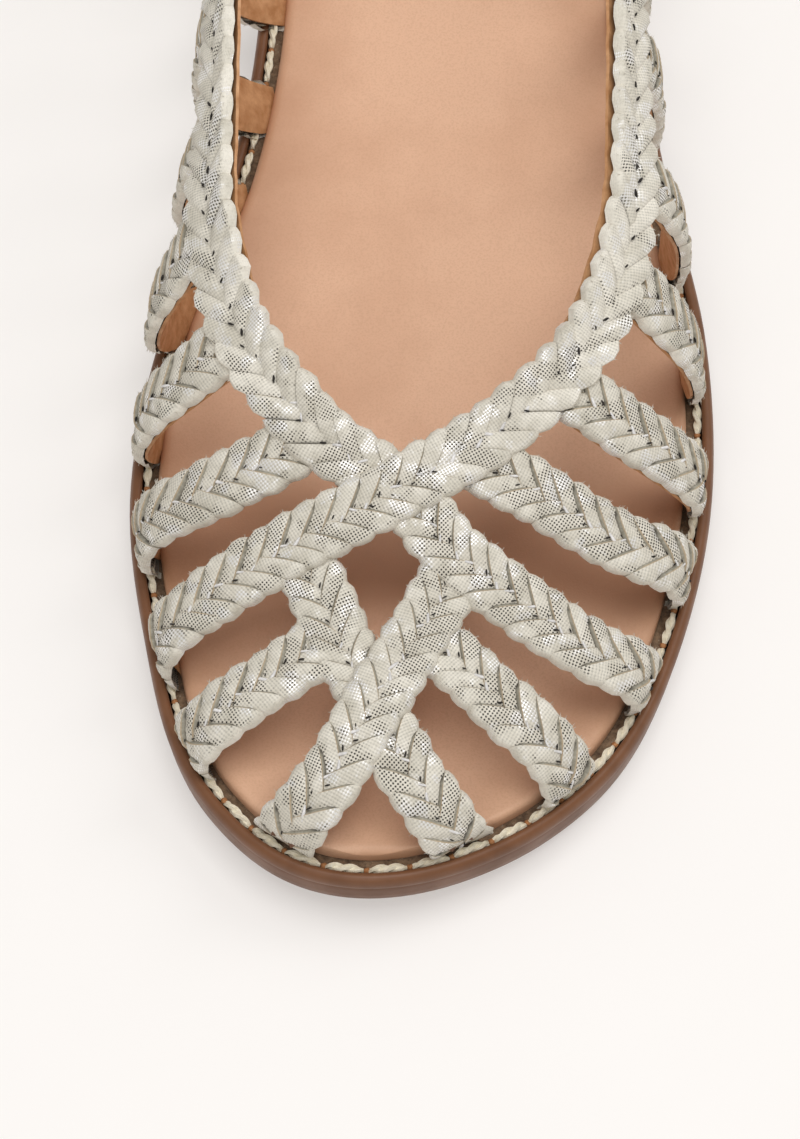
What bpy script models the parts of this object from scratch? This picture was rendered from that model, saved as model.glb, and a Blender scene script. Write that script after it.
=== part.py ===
"""Closed-toe sandal for the left foot: moulded outsole, felt midsole, padded insole, upper of flat braids.

Sizes are in millimetres until a mesh is made. "Station" is the distance from the toe tip towards the heel.
"Girth" runs round the foot, from -1 at the medial sole edge over 0 on its top to +1 at the lateral sole edge.
The frame has +Z up, the toe towards -Y and the medial side towards -X, with the floor at z = 0.
"""

import math

import bpy
import bmesh
from mathutils import Vector

METRES_PER_MM = 0.001
GAP = 0.3

# Sole outline, seen from above
LENGTH = 255.0
TOE_TIP_X = -4.5
HEEL_TIP_X = 5.0
OUTLINE_ROWS = (
    # station, medial x, lateral x
    (3, -17.0, 9.8),
    (10, -25.6, 22.2),
    (22, -33.6, 34.0),
    (42, -39.0, 43.3),
    (73, -42.4, 49.7),
    (100, -38.4, 49.3),
    (130, -28.0, 43.8),
    (158, -23.5, 39.6),
    (185, -23.6, 37.0),
    (212, -25.2, 35.6),
    (235, -22.4, 31.9),
    (249, -12.0, 21.5),
)
OUTLINE_STEPS = 64

# Sole seen from the side: toe spring, flat forefoot, arch, flat heel
SOLE_ROWS = (
    # station, bottom height, rim height
    (0, 4.5, 12.5),
    (20, 1.6, 10.2),
    (45, 0.0, 8.8),
    (75, 0.0, 8.4),
    (105, 0.0, 9.2),
    (135, 3.0, 11.3),
    (165, 0.0, 14.0),
    (200, 0.0, 16.4),
    (255, 0.0, 17.4),
)
RIM_WIDTH = 1.9
MIDSOLE_DROP = 1.4
MIDSOLE_THICKNESS = 2.4
TRAY_DROP = MIDSOLE_DROP + MIDSOLE_THICKNESS + GAP
INSOLE_INSET = 5.0
INSOLE_RISE = 1.5
INSOLE_DISH = 0.7

# Last, the form of the foot that the upper is pulled over
LAST_ROWS = (
    # station, spine x, crown height, bulge height, medial bulge, lateral bulge
    (0, -2.0, 24.0, 14.5, 1.0, 1.0),
    (30, -1.0, 24.5, 14.0, 1.2, 1.0),
    (54, 1.5, 31.5, 15.0, 1.2, 1.0),
    (77, 2.5, 43.0, 17.0, 1.2, 0.3),
    (95, 3.0, 55.0, 20.0, 2.0, -0.4),
    (115, 3.5, 67.0, 24.0, 4.0, -0.5),
    (135, 4.0, 79.0, 29.0, 8.0, 0.8),
    (160, 4.5, 92.0, 31.0, 10.0, 2.2),
    (190, 5.0, 104.0, 31.0, 8.0, 2.0),
    (222, 5.0, 112.0, 30.0, 3.0, 1.2),
    (255, 5.0, 112.0, 30.0, -0.6, -0.6),
)
TOE_CENTRE = 30.0
HEEL_CENTRE = 222.0
LAST_INSET = 4.6
BULGE_SHARE = 0.22

# Flat braid, made as one wall with its strips raised
BRAID_WIDTH = 10.4
BRAID_PITCH = 4.5
EDGE_HEIGHT = 2.5
VALLEY_DEPTH = 0.7
GROOVE_HEIGHT = 1.9
SCALLOP_DEPTH = 0.5
EDGE_SLOPE = 0.7
CHEVRON_LEAD = 3.0
BASE_OVERRUN = 5.0
COLLAR_LIFT = 1.0

# Collar line that the two long braids follow from the heel to the vamp
COLLAR_ROWS = (
    # station, lateral girth, medial girth
    (66, 0.165, 0.20),
    (78, 0.31, 0.33),
    (94, 0.41, 0.43),
    (112, 0.46, 0.49),
    (132, 0.50, 0.53),
    (160, 0.58, 0.60),
    (200, 0.61, 0.62),
    (235, 0.60, 0.60),
    (255, 0.58, 0.58),
)
COLLAR_POINTS = 17
HEEL_LAP_TURN = 0.12
HEEL_LAP_LIFT = 1.6
HEEL_LAP_SHARE = 0.25

# Braids that cross the vamp and the toe, from their upper end to the sole
FRONT_BRAIDS = {
    # name: rows of station, girth, lift
    "vamp_over": (
        (56.5, -0.01, 1.5),
        (48, -0.24, 1.2),
        (41.5, -0.48, 0.8),
        (39, -0.66, 0.6),
        (38.5, -0.85, 0.5),
        (38.5, -1.0, 0.4),
    ),
    "vamp_under": (
        (55.5, -0.01, -0.1),
        (47, 0.09, 0.8),
        (39.5, 0.24, 1.0),
        (32.5, 0.47, 0.8),
        (31.5, 0.64, 0.6),
        (32.3, 0.82, 0.5),
        (33.7, 1.0, 0.4),
    ),
    "toe_under": (
        (48, -0.22, 0.0),
        (40, -0.16, 0.2),
        (32, -0.11, 0.2),
        (11, -0.09, 0.0),
        (0.2, 0.24, 0.4),
        (2, 0.5, 0.5),
        (3, 0.74, 0.5),
        (4, 1.0, 0.4),
    ),
    "toe_over": (
        (46, 0.11, 0.0),
        (39, 0.07, 0.9),
        (32, 0.03, 1.6),
        (1, -0.16, 1.7),
        (2, -0.39, 1.0),
        (3, -0.56, 0.6),
        (4, -0.78, 0.5),
        (4.5, -1.0, 0.4),
    ),
    "toe_side_medial": (
        (35, -0.13, 0.0),
        (28, -0.26, 0.3),
        (23, -0.42, 0.5),
        (21, -0.62, 0.5),
        (21.3, -0.84, 0.5),
        (21.5, -1.0, 0.4),
    ),
    "toe_side_lateral": (
        (35, 0.05, 0.0),
        (27, 0.15, 0.3),
        (17, 0.3, 0.5),
        (14.5, 0.55, 0.5),
        (14, 0.8, 0.5),
        (14.3, 1.0, 0.4),
    ),
    "ball_medial": (
        (65, -0.17, -0.2),
        (61, -0.29, 0.2),
        (58, -0.46, 0.5),
        (57.5, -0.66, 0.5),
        (58.5, -0.86, 0.5),
        (60, -1.0, 0.4),
    ),
    "ball_lateral": (
        (61, 0.1, -0.2),
        (56, 0.24, 0.2),
        (50.7, 0.42, 0.5),
        (50.2, 0.66, 0.5),
        (52, 0.86, 0.5),
        (54, 1.0, 0.4),
    ),
}

# Side braids hang from the collar to the sole edge, each row a pair
SIDE_BRAIDS = (
    # medial stations at collar, middle and sole, lateral stations at collar, middle and sole
    (80, 76, 82, 72.5, 65.5, 73),
    (99, 95, 106, 90, 86.3, 93.5),
    (117, 116.5, 125, 107, 108, 114),
    (136, 137, 143, 127, 131, 137),
    (157, 158, 163, 148, 152, 157),
    (179, 180, 184, 169, 172, 176),
    (200, 201, 204, 191, 194, 197),
    (219, 220, 222, 213, 215, 217),
    (236, 237, 238, 233, 234.5, 236),
    (247, 248, 250, 247, 248, 250),
)
SIDE_POINTS = 6
SIDE_LIFT = 0.4
SIDE_TUCK = -0.3
SIDE_START = 0.02

SEAT_REACH = 30.0
SEAT_DEPTH = -20.0

FINISHES = {
    # node: colour, roughness
    "outsole": ((0.16, 0.072, 0.042, 1.0), 0.55),
    "midsole": ((0.085, 0.066, 0.05, 1.0), 0.95),
    "insole": ((0.66, 0.42, 0.28, 1.0), 0.5),
    "upper": ((0.62, 0.58, 0.49, 1.0), 0.45),
}


def hermite(share, width, start, end, start_slope, end_slope):
    """A cubic from start to end, for numbers and vectors alike."""
    back = 1 - share
    return (
        start * ((1 + 2 * share) * back * back)
        + start_slope * (share * back * back * width)
        + end * (share * share * (3 - 2 * share))
        - end_slope * (share * share * back * width)
    )


def blended_slope(before, here, after):
    """The slope at a knot (place, value) of a smooth curve through its two neighbours."""
    left, right = here[0] - before[0], after[0] - here[0]
    rise_left = (here[1] - before[1]) * (1 / left)
    rise_right = (after[1] - here[1]) * (1 / right)
    return (rise_left * right + rise_right * left) * (1 / (left + right))


def column(rows, index):
    """A smooth function of station through one column, flat wherever the rows are flat."""
    knots = [(row[0], row[index]) for row in rows]
    rises = [(b[1] - a[1]) / (b[0] - a[0]) for a, b in zip(knots, knots[1:])]
    inner = [2 * a * b / (a + b) if a * b > 0 else 0.0 for a, b in zip(rises, rises[1:])]
    slopes = [rises[0], *inner, rises[-1]]

    def value(station):
        station = min(max(station, knots[0][0]), knots[-1][0])
        i = max(k for k in range(len(knots) - 1) if knots[k][0] <= station)
        width = knots[i + 1][0] - knots[i][0]
        share = (station - knots[i][0]) / width
        return hermite(share, width, knots[i][1], knots[i + 1][1], slopes[i], slopes[i + 1])

    return value


bottom_height = column(SOLE_ROWS, 1)
rim_height = column(SOLE_ROWS, 2)
spine_x, crown_height, bulge_height, medial_bulge, lateral_bulge = (column(LAST_ROWS, i) for i in range(1, 6))
lateral_collar, medial_collar = column(COLLAR_ROWS, 1), column(COLLAR_ROWS, 2)


def turn_at(station):
    """The turn round the outline, 0 at the toe tip and pi at the heel tip, on the lateral side."""
    return math.acos(1 - 2 * station / LENGTH)


def station_at(turn):
    return LENGTH / 2 * (1 - math.cos(turn))


OUTLINE_KNOTS = [
    (0.0, TOE_TIP_X),
    *((turn_at(station), lateral) for station, medial, lateral in OUTLINE_ROWS),
    (math.pi, HEEL_TIP_X),
    *((2 * math.pi - turn_at(station), medial) for station, medial, lateral in reversed(OUTLINE_ROWS)),
]


def outline_knot(index):
    laps, index = divmod(index, len(OUTLINE_KNOTS))
    turn, x = OUTLINE_KNOTS[index]
    return turn + laps * 2 * math.pi, x


def outline_x(turn):
    turn %= 2 * math.pi
    i = max(k for k, knot in enumerate(OUTLINE_KNOTS) if knot[0] <= turn)
    before, start, end, after = (outline_knot(i + k) for k in (-1, 0, 1, 2))
    width = end[0] - start[0]
    slopes = blended_slope(before, start, end), blended_slope(start, end, after)
    return hermite((turn - start[0]) / width, width, start[1], end[1], *slopes)


def sole_edge(turn, inset=0.0):
    """The point (x, station) this far inside the sole outline."""
    step = 0.002
    along_x = outline_x(turn + step) - outline_x(turn - step)
    along_station = station_at(turn + step) - station_at(turn - step)
    size = math.hypot(along_x, along_station)
    return (
        outline_x(turn) - inset * along_station / size,
        station_at(turn) + inset * along_x / size,
    )


TURNS = [2 * math.pi * i / OUTLINE_STEPS for i in range(OUTLINE_STEPS)]
MIDDLE_X = (min(map(outline_x, TURNS)) + max(map(outline_x, TURNS))) / 2


def placed(x, station, height):
    """A point of the shoe in the part's own frame."""
    return Vector((x - MIDDLE_X, station - LENGTH / 2, height))


def sole_ring(inset, height):
    """Points round the sole at an inset, with their height given as a function of station."""
    return [placed(x, station, height(station)) for x, station in (sole_edge(turn, inset) for turn in TURNS)]


def above_rim(rise):
    return lambda station: rim_height(station) + rise


def above_bottom(rise, share=0.0):
    """A height above the bottom, by a fixed rise and a share of the sole's thickness."""
    return lambda station: bottom_height(station) + rise + share * (rim_height(station) - bottom_height(station))


def cap(bm, ring):
    """Closes a ring with a ladder of faces from side to side, so that it follows the sole's curve."""
    count = len(ring)
    half = count // 2
    bm.faces.new((ring[0], ring[1], ring[-1]))
    for i in range(1, half - 1):
        bm.faces.new((ring[i], ring[i + 1], ring[count - i - 1], ring[count - i]))
    bm.faces.new((ring[half - 1], ring[half], ring[half + 1]))


def finished_object(name, bm, smooth_angle=40):
    """An object in metres from a bmesh in millimetres, with its faces turned outwards."""
    bmesh.ops.recalc_face_normals(bm, faces=bm.faces)
    bmesh.ops.scale(bm, vec=Vector((1, 1, 1)) * METRES_PER_MM, verts=bm.verts)
    mesh = bpy.data.meshes.new(name)
    bm.to_mesh(mesh)
    bm.free()
    mesh.shade_smooth()
    mesh.set_sharp_from_angle(angle=math.radians(smooth_angle))
    made = bpy.data.objects.new(name, mesh)
    bpy.context.scene.collection.objects.link(made)
    return made


def lofted(name, profile):
    """A closed solid through rings round the sole, given as rows of inset and height function."""
    bm = bmesh.new()
    rings = [[bm.verts.new(point) for point in sole_ring(inset, height)] for inset, height in profile]
    for lower, upper in zip(rings, rings[1:]):
        for i in range(OUTLINE_STEPS):
            bm.faces.new((lower[i - 1], lower[i], upper[i], upper[i - 1]))
    cap(bm, rings[0])
    cap(bm, rings[-1])
    return finished_object(name, bm)


def make_outsole():
    """A tray with a rounded bottom edge, a side groove and a bead round its rim."""
    return lofted(
        "outsole",
        (
            (2.6, above_bottom(0.0)),
            (1.0, above_bottom(1.0)),
            (0.45, above_bottom(0.6, 0.3)),
            (0.35, above_rim(-3.3)),
            (0.6, above_rim(-2.9)),
            (0.0, above_rim(-2.3)),
            (0.15, above_rim(-1.0)),
            (0.8, above_rim(-0.2)),
            (1.4, above_rim(0.0)),
            (RIM_WIDTH, above_rim(-0.4)),
            (RIM_WIDTH, above_rim(-TRAY_DROP)),
        ),
    )


def make_midsole():
    """A felt board that fills the tray up to a ledge just under the rim."""
    inset = RIM_WIDTH + GAP
    return lofted(
        "midsole",
        (
            (inset, above_rim(-MIDSOLE_DROP - MIDSOLE_THICKNESS)),
            (inset, above_rim(-MIDSOLE_DROP)),
        ),
    )


def make_insole():
    """A padded footbed with a soft edge and a slightly dished middle."""
    return lofted(
        "insole",
        (
            (INSOLE_INSET, above_rim(GAP - MIDSOLE_DROP)),
            (INSOLE_INSET, above_rim(INSOLE_RISE - 1.4)),
            (INSOLE_INSET + 0.5, above_rim(INSOLE_RISE - 0.5)),
            (INSOLE_INSET + 1.6, above_rim(INSOLE_RISE)),
            (INSOLE_INSET + 9.0, above_rim(INSOLE_RISE - INSOLE_DISH)),
        ),
    )


def last_point(station, girth):
    """The point of the last at a station of the sole edge and a girth round the foot."""
    lateral = girth >= 0
    turn = turn_at(station) if lateral else -turn_at(station)
    base_x, base_station = sole_edge(turn, LAST_INSET)
    centre = min(max(station, TOE_CENTRE), HEEL_CENTRE)
    centre_x = spine_x(centre)
    reach = math.hypot(base_x - centre_x, base_station - centre)
    bulge = (lateral_bulge if lateral else medial_bulge)(station)
    foot = rim_height(base_station) - MIDSOLE_DROP
    belly = bulge_height(station)
    climb = 1 - abs(girth)
    if climb < BULGE_SHARE:
        share = climb / BULGE_SHARE
        out = reach + bulge * (1 - (1 - share) ** 2)
        height = foot + (belly - foot) * share
    else:
        angle = (climb - BULGE_SHARE) / (1 - BULGE_SHARE) * math.pi / 2
        out = (reach + bulge) * math.cos(angle)
        height = belly + (crown_height(centre) - belly) * math.sin(angle)
    return placed(
        centre_x + (base_x - centre_x) * out / reach,
        centre + (base_station - centre) * out / reach,
        height,
    )


def last_normal(station, girth):
    """The direction straight out of the last."""
    step_station = 0.1
    step_girth = 0.004
    station = min(max(station, step_station), LENGTH - step_station)
    low, high = max(girth - step_girth, -1), min(girth + step_girth, 1)
    if low < 0 < high:
        low, high = (0.0, high) if girth >= 0 else (low, -1e-6)
    along = last_point(station + step_station, girth) - last_point(station - step_station, girth)
    round_foot = last_point(station, high) - last_point(station, low)
    return round_foot.cross(along).normalized()


class Route:
    """A smooth path over the last through rows of station, girth and lift, measured along its length."""

    def __init__(self, rows):
        normals = [last_normal(station, girth) for station, girth, lift in rows]
        points = [last_point(row[0], row[1]) + normal * row[2] for row, normal in zip(rows, normals)]
        places = [0.0]
        for a, b in zip(points, points[1:]):
            places.append(places[-1] + (b - a).length)
        self.length = places[-1]
        self.knots = list(zip(places, points, normals))
        inner = [
            blended_slope(*((knot[0], knot[1]) for knot in self.knots[i - 1 : i + 2]))
            for i in range(1, len(rows) - 1)
        ]
        first = (points[1] - points[0]).normalized()
        last = (points[-1] - points[-2]).normalized()
        self.slopes = [first, *inner, last]

    def point(self, place):
        inside = min(max(place, 0.0), self.length)
        i = max(k for k in range(len(self.knots) - 1) if self.knots[k][0] <= inside)
        start, end = self.knots[i], self.knots[i + 1]
        width = end[0] - start[0]
        share = (inside - start[0]) / width
        found = hermite(share, width, start[1], end[1], self.slopes[i], self.slopes[i + 1])
        beyond = self.slopes[0] if place < 0 else self.slopes[-1]
        return found + beyond * (place - inside), start[2].lerp(end[2], share)

    def frame(self, place):
        """Point, direction across the strap and direction out of the foot."""
        step = 0.2
        point, out = self.point(place)
        along = (self.point(place + step)[0] - self.point(place - step)[0]).normalized()
        across = along.cross(out).normalized()
        return point, across, across.cross(along)


def make_braid(name, rows):
    """A flat braid along a route: its edges rise and fall by strips and lag behind its middle as chevrons."""
    route = Route(rows)
    bm = bmesh.new()
    strips = math.ceil((route.length + BASE_OVERRUN) / BRAID_PITCH)
    tops, feet = [], []
    for i in range(2 * strips + 1):
        place = i * BRAID_PITCH / 2
        point, across, out = route.frame(place - CHEVRON_LEAD)
        middle, _, middle_out = route.frame(place)
        valley = i % 2
        reach = BRAID_WIDTH / 2 - SCALLOP_DEPTH * valley
        raised = out * (EDGE_HEIGHT - VALLEY_DEPTH * valley)
        top = (
            point - across * (reach - EDGE_SLOPE) + raised,
            middle + middle_out * GROOVE_HEIGHT,
            point + across * (reach - EDGE_SLOPE) + raised,
        )
        tops.append([bm.verts.new(corner) for corner in top])
        if not valley:
            feet.append([bm.verts.new(point + across * side * reach) for side in (-1, 1)])
    for lower, upper in zip(tops, tops[1:]):
        for i in range(2):
            bm.faces.new((lower[i], lower[i + 1], upper[i + 1], upper[i]))
    for strip in range(strips):
        lower, upper = feet[strip], feet[strip + 1]
        edge_tops = tops[2 * strip : 2 * strip + 3]
        bm.faces.new((lower[0], lower[1], upper[1], upper[0]))
        for side, top_side in ((0, 0), (1, 2)):
            bm.faces.new((lower[side], *(top[top_side] for top in edge_tops), upper[side]))
    for top, foot in ((tops[0], feet[0]), (tops[-1], feet[-1])):
        bm.faces.new((*top, foot[1], foot[0]))
    bmesh.ops.triangulate(bm, faces=bm.faces)
    return finished_object(name, bm)


def collar_rows(side, end_lift):
    """The long braid's rows, from a lap past the heel's middle, along one side's collar to the vamp."""
    first, last = math.pi + HEEL_LAP_TURN, turn_at(COLLAR_ROWS[0][0])
    girth = lateral_collar if side > 0 else medial_collar
    rows = []
    for i in range(COLLAR_POINTS):
        share = i / (COLLAR_POINTS - 1)
        turn = first + (last - first) * share
        station = station_at(turn)
        turned = side if turn < math.pi else -side
        near_heel = max(0.0, 1 - share / HEEL_LAP_SHARE)
        rows.append((station, turned * girth(station), COLLAR_LIFT + (end_lift - COLLAR_LIFT) * near_heel))
    return tuple(rows)


def side_rows(side, top, middle, base):
    """A side braid's rows, on a curve through three stations from under the collar to the sole edge."""
    start = (lateral_collar if side > 0 else medial_collar)(top) + SIDE_START
    rows = []
    for i in range(SIDE_POINTS):
        share = i / (SIDE_POINTS - 1)
        station = top + (base - top) * share + 4 * share * (1 - share) * (middle - (top + base) / 2)
        lift = SIDE_TUCK + (SIDE_LIFT - SIDE_TUCK) * min(1.0, share * 3)
        rows.append((station, side * (start + (1 - start) * share), lift))
    return tuple(rows)


def make_seat():
    """A cutter with the form of the sole, which ends every braid on the midsole's ledge."""
    ledge = GAP - MIDSOLE_DROP
    above_insole = INSOLE_RISE + GAP
    channel = RIM_WIDTH + GAP
    inner = INSOLE_INSET - GAP
    seat = lofted(
        "seat",
        (
            (-SEAT_REACH, lambda station: SEAT_DEPTH),
            (-SEAT_REACH, above_rim(GAP)),
            (channel, above_rim(GAP)),
            (channel, above_rim(ledge)),
            (inner, above_rim(ledge)),
            (inner, above_rim(above_insole)),
        ),
    )
    hide_helper(seat)
    return seat


def hide_helper(helper):
    helper.hide_render = True
    helper.display_type = "WIRE"


def make_upper():
    """All braids joined where they cross, and cut to stand on the ledge of the midsole."""
    upper = make_braid("upper", collar_rows(1, 0.0) + FRONT_BRAIDS["vamp_over"])
    others = [make_braid("vamp_under", collar_rows(-1, HEEL_LAP_LIFT) + FRONT_BRAIDS["vamp_under"])]
    others += [make_braid(name, rows) for name, rows in FRONT_BRAIDS.items() if not name.startswith("vamp")]
    for row in SIDE_BRAIDS:
        others.append(make_braid("side_medial", side_rows(-1, *row[:3])))
        others.append(make_braid("side_lateral", side_rows(1, *row[3:])))
    braids = bpy.data.collections.new("braids")
    for other in others:
        hide_helper(other)
        braids.objects.link(other)
    join = upper.modifiers.new("join", "BOOLEAN")
    join.operation = "UNION"
    join.operand_type = "COLLECTION"
    join.collection = braids
    trim = upper.modifiers.new("trim", "BOOLEAN")
    trim.operation = "DIFFERENCE"
    trim.object = make_seat()
    return upper


def give_finish(made):
    colour, roughness = FINISHES[made.name]
    material = bpy.data.materials.new(made.name)
    material.use_nodes = True
    shader = material.node_tree.nodes["Principled BSDF"]
    shader.inputs["Base Color"].default_value = colour
    shader.inputs["Roughness"].default_value = roughness
    shader.inputs["Metallic"].default_value = 0.0
    made.data.materials.append(material)


def main():
    for old in list(bpy.data.objects):
        bpy.data.objects.remove(old)
    for made in (make_outsole(), make_midsole(), make_insole(), make_upper()):
        give_finish(made)


main()
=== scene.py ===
import bisect
import math
import random

import bpy
import bmesh
from mathutils import Matrix, Vector


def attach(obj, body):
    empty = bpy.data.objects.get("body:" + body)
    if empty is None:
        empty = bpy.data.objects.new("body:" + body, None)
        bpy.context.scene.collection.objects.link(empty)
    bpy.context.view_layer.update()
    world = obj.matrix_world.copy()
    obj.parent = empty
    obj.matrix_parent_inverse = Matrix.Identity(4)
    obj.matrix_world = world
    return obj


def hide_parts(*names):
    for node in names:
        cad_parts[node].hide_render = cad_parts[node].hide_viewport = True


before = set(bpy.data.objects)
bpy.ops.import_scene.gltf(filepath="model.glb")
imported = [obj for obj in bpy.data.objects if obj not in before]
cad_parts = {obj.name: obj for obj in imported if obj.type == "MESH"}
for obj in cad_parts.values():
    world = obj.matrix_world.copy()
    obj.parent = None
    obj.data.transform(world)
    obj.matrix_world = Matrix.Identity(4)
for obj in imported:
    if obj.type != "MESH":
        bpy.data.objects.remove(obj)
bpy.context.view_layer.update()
mm = 0.001
dice = random.Random(7)
print("frame loaded")

# the sole in plan and from the side, in millimetres; station runs from the toe tip to the heel
sole = {
    "length": 255.0,
    "toeTipX": -4.5,
    "heelTipX": 5.0,
    "outline": (  # station, medial x, lateral x
        (3, -17.0, 9.8), (10, -25.6, 22.2), (22, -33.6, 34.0), (42, -39.0, 43.3),
        (73, -42.4, 49.7), (100, -38.4, 49.3), (130, -28.0, 43.8), (158, -23.5, 39.6),
        (185, -23.6, 37.0), (212, -25.2, 35.6), (235, -22.4, 31.9), (249, -12.0, 21.5),
    ),
    "heights": (  # station, bottom, rim
        (0, 4.5, 12.5), (20, 1.6, 10.2), (45, 0.0, 8.8), (75, 0.0, 8.4), (105, 0.0, 9.2),
        (135, 3.0, 11.3), (165, 0.0, 14.0), (200, 0.0, 16.4), (255, 0.0, 17.4),
    ),
    "ledgeDrop": 1.4,
    "trayDrop": 4.1,
    "steps": 240,
}

# the last that the straps are pulled over
last = {
    "rows": (  # station, spine x, crown, bulge height, medial bulge, lateral bulge
        (0, -2.0, 24.0, 14.5, 1.0, 1.0),
        (30, -1.0, 24.5, 14.0, 1.2, 1.0),
        (54, 1.5, 31.5, 15.0, 1.2, 1.0),
        (77, 2.5, 43.0, 17.0, 1.2, 0.3),
        (95, 3.0, 55.0, 20.0, 2.0, -0.4),
        (115, 3.5, 67.0, 24.0, 4.0, -0.5),
        (135, 4.0, 79.0, 29.0, 8.0, 0.8),
        (160, 4.5, 92.0, 31.0, 10.0, 2.2),
        (190, 5.0, 104.0, 31.0, 8.0, 2.0),
        (222, 5.0, 112.0, 30.0, 3.0, 1.2),
        (255, 5.0, 112.0, 30.0, -0.6, -0.6),
    ),
    "toeCentre": 30.0,
    "heelCentre": 222.0,
    "inset": 4.6,
    "bulgeShare": 0.22,
}

# where each strap runs: station, girth (-1 medial edge, 0 top, 1 lateral edge) and lift off the last
straps = {
    "collar": (  # station, lateral girth, medial girth
        (66, 0.165, 0.20), (78, 0.31, 0.33), (94, 0.41, 0.43), (112, 0.46, 0.49), (132, 0.50, 0.53),
        (160, 0.58, 0.60), (200, 0.61, 0.62), (235, 0.60, 0.60), (255, 0.58, 0.58),
    ),
    "collarPoints": 17,
    "collarLift": 1.0,
    "medialInward": -0.75,  # the medial collar's braid sits nearer to the foot
    "inwardFade": (4.0, 12.0),  # each fade: how far past the collar's end it stops, and its length
    "heelLapTurn": 0.12,
    "heelLapLift": 1.6,
    "heelLapShare": 0.25,
    "vampOver": (
        (56.5, -0.01, 1.5), (48, -0.24, 1.2), (41.5, -0.48, 0.8),
        (39, -0.66, 0.6), (38.5, -0.85, 0.5), (38.5, -1.0, 0.4),
    ),
    "vampUnder": (
        (55.5, -0.01, -0.1), (47, 0.09, 0.8), (39.5, 0.24, 1.0), (32.5, 0.47, 0.8),
        (31.5, 0.64, 0.6), (32.3, 0.82, 0.5), (33.7, 1.0, 0.4),
    ),
    "front": {
        "toeUnder": (
            (48, -0.22, 0.0), (40, -0.16, 0.2), (32, -0.11, 0.2), (11, -0.09, 0.0),
            (0.2, 0.24, 0.4), (2, 0.5, 0.5), (3, 0.74, 0.5), (4, 1.0, 0.4),
        ),
        "toeOver": (
            (46, 0.11, 0.0), (39, 0.07, 0.9), (32, 0.03, 1.6), (1, -0.16, 1.7),
            (2, -0.39, 1.0), (3, -0.56, 0.6), (4, -0.78, 0.5), (4.5, -1.0, 0.4),
        ),
        "toeSideMedial": (
            (35, -0.13, 0.0), (28, -0.26, 0.3), (23, -0.42, 0.5),
            (21, -0.62, 0.5), (21.3, -0.84, 0.5), (21.5, -1.0, 0.4),
        ),
        "toeSideLateral": (
            (35, 0.05, 0.0), (27, 0.15, 0.3), (17, 0.3, 0.5),
            (14.5, 0.55, 0.5), (14, 0.8, 0.5), (14.3, 1.0, 0.4),
        ),
        "ballMedial": (
            (65, -0.17, -0.2), (61, -0.29, 0.2), (58, -0.46, 0.5),
            (57.5, -0.66, 0.5), (58.5, -0.86, 0.5), (60, -1.0, 0.4),
        ),
        "ballLateral": (
            (61, 0.1, -0.2), (56, 0.24, 0.2), (50.7, 0.42, 0.5),
            (50.2, 0.66, 0.5), (52, 0.86, 0.5), (54, 1.0, 0.4),
        ),
    },
    "sides": (  # medial stations at collar, middle and sole, then the lateral ones
        (80, 76, 82, 72.5, 65.5, 73),
        (99, 95, 106, 90, 86.3, 93.5),
        (117, 116.5, 125, 107, 108, 114),
        (136, 137, 143, 127, 131, 137),
        (157, 158, 163, 148, 152, 157),
        (179, 180, 184, 169, 172, 176),
        (200, 201, 204, 191, 194, 197),
        (219, 220, 222, 213, 215, 217),
        (236, 237, 238, 233, 234.5, 236),
        (247, 248, 250, 247, 248, 250),
    ),
    "sidePoints": 6,
    "sideLift": 0.4,
    "sideTuck": -0.3,
    "sideStart": 0.02,
    "untuckRate": 3,  # the tuck under the collar ends after one third of the strap
    "ledgeGap": 0.05,
}


def smooth(share):
    share = min(max(share, 0.0), 1.0)
    return share * share * (3 - 2 * share)


def between(pair, share):
    return pair[0] + (pair[1] - pair[0]) * share


def evenShares(count):
    return [i / (count - 1) for i in range(count)]


def blendedSlope(before, here, after):
    left, right = here[0] - before[0], after[0] - here[0]
    riseLeft = (here[1] - before[1]) * (1 / left)
    riseRight = (after[1] - here[1]) * (1 / right)
    return (riseLeft * right + riseRight * left) * (1 / (left + right))


def innerSlopes(knots):
    return [blendedSlope(*three) for three in zip(knots, knots[1:], knots[2:])]


def curveAt(knots, slopes, place):  # value on a smooth curve, with the stretch and the share of it
    i = max(k for k in range(len(knots) - 1) if knots[k][0] <= place)
    start, end = knots[i], knots[i + 1]
    width = end[0] - start[0]
    share = (place - start[0]) / width
    back = 1 - share
    value = start[1] * ((1 + 2 * share) * back * back) + slopes[i] * (share * back * back * width)
    value += end[1] * (share * share * (3 - 2 * share)) - slopes[i + 1] * (share * share * back * width)
    return value, i, share


def column(rows, index):  # smooth function through one column of a table, read by its first column
    knots = [(row[0], row[index]) for row in rows]
    rises = [(b[1] - a[1]) / (b[0] - a[0]) for a, b in zip(knots, knots[1:])]
    inner = [2 * a * b / (a + b) if a * b > 0 else 0.0 for a, b in zip(rises, rises[1:])]
    slopes = [rises[0], *inner, rises[-1]]
    return lambda place: curveAt(knots, slopes, min(max(place, knots[0][0]), knots[-1][0]))[0]


def runLengths(points):  # distance along a path to each of its points
    lengths = [0.0]
    for a, b in zip(points, points[1:]):
        lengths.append(lengths[-1] + (b - a).length)
    return lengths


bottomHeight, rimHeight = (column(sole["heights"], i) for i in (1, 2))
lastColumns = [column(last["rows"], i) for i in range(1, 6)]
spineX, crownHeight, bulgeHeight, medialBulge, lateralBulge = lastColumns
collarGirth = {1: column(straps["collar"], 1), -1: column(straps["collar"], 2)}  # by side


def turnAt(station):  # 0 at the toe tip, pi at the heel tip
    return math.acos(1 - 2 * station / sole["length"])


def stationAt(turn):
    return sole["length"] / 2 * (1 - math.cos(turn))


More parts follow.
